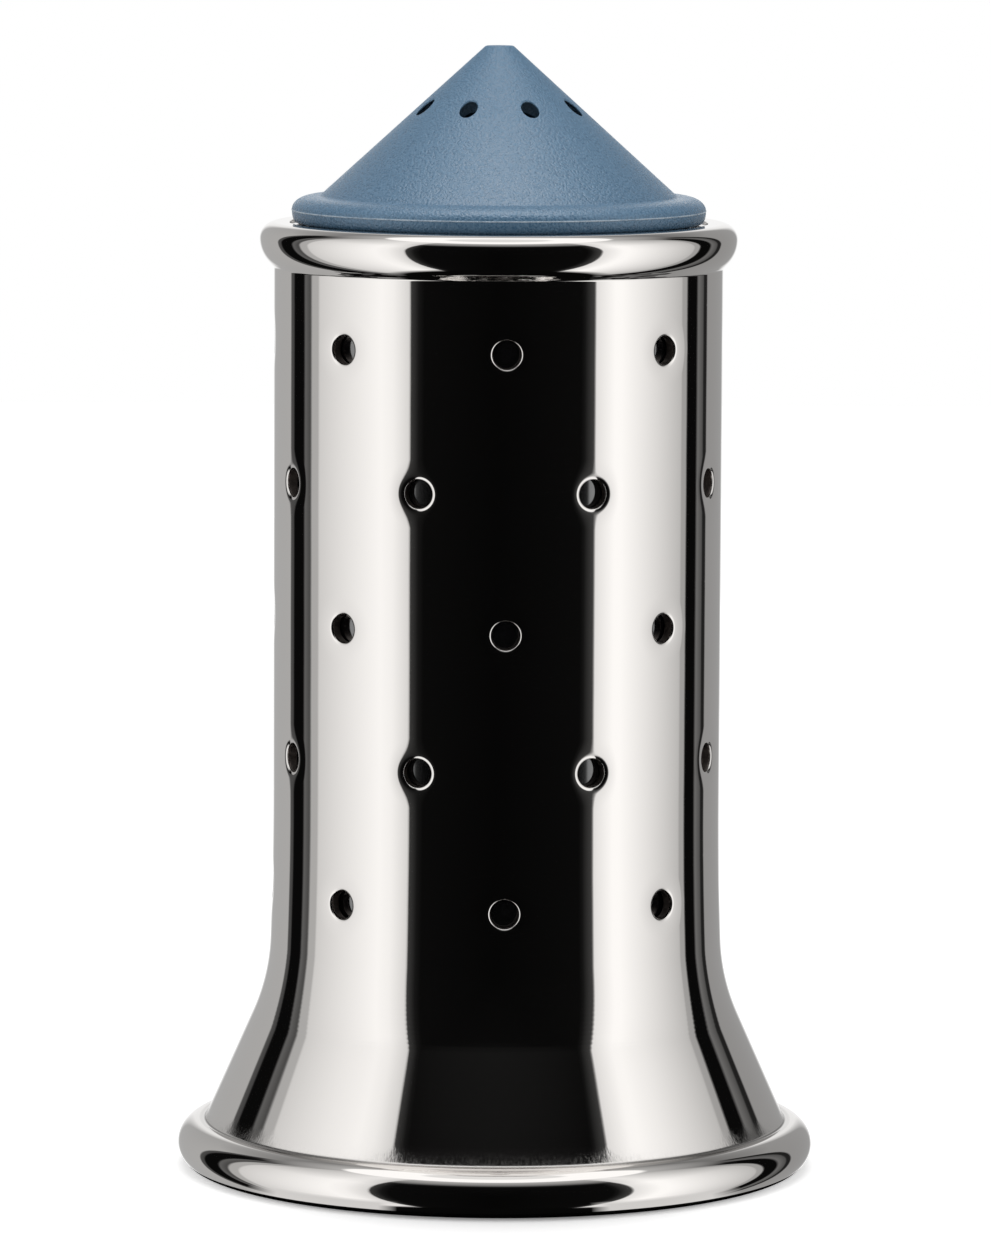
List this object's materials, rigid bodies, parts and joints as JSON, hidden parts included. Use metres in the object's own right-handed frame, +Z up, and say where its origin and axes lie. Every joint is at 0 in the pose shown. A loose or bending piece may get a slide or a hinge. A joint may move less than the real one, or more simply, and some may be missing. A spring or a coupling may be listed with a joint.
{
  "type": "salt shaker",
  "caption": "Table salt shaker: perforated polished steel mantle with curled rim and flared foot, a dark inner cup, and a pale blue cone cap with pouring holes that pulls off for filling.",
  "frame": {"origin": "centre of the foot ring, on the table", "axes": "+Z up along the shaker's axis, -Y towards the viewer of the picture, +X to that viewer's right"},
  "size_m": [0.0516, 0.0516, 0.0909],
  "materials": {
    "polished_steel": "mirror-polished stainless steel",
    "dark_plastic": "moulded, glossy",
    "blue_plastic": "moulded, fine matt grain",
    "black_rubber": "moulded ring",
    "base_plastic": "moulded, satin",
    "screw_steel": "zinc plated"
  },
  "bodies": {
    "shaker_body": {"mantle": "polished_steel", "container": "dark_plastic", "base_disc": "base_plastic", "base_screw": "screw_steel"},
    "seal_ring": {"cap_seal": "black_rubber"},
    "cap": {"cone_cap": "blue_plastic"}
  },
  "joints": [
    {"name": "cap_lift", "type": "slide", "parent": "shaker_body", "child": "seal_ring", "axis": [0, 0, 1], "range_m": [0, 0.045]},
    {"name": "cap_turn", "type": "hinge", "parent": "seal_ring", "child": "cap", "pos_m": [0, 0, 0.07688], "axis": [0, 0, 1], "continuous": true}
  ]
}
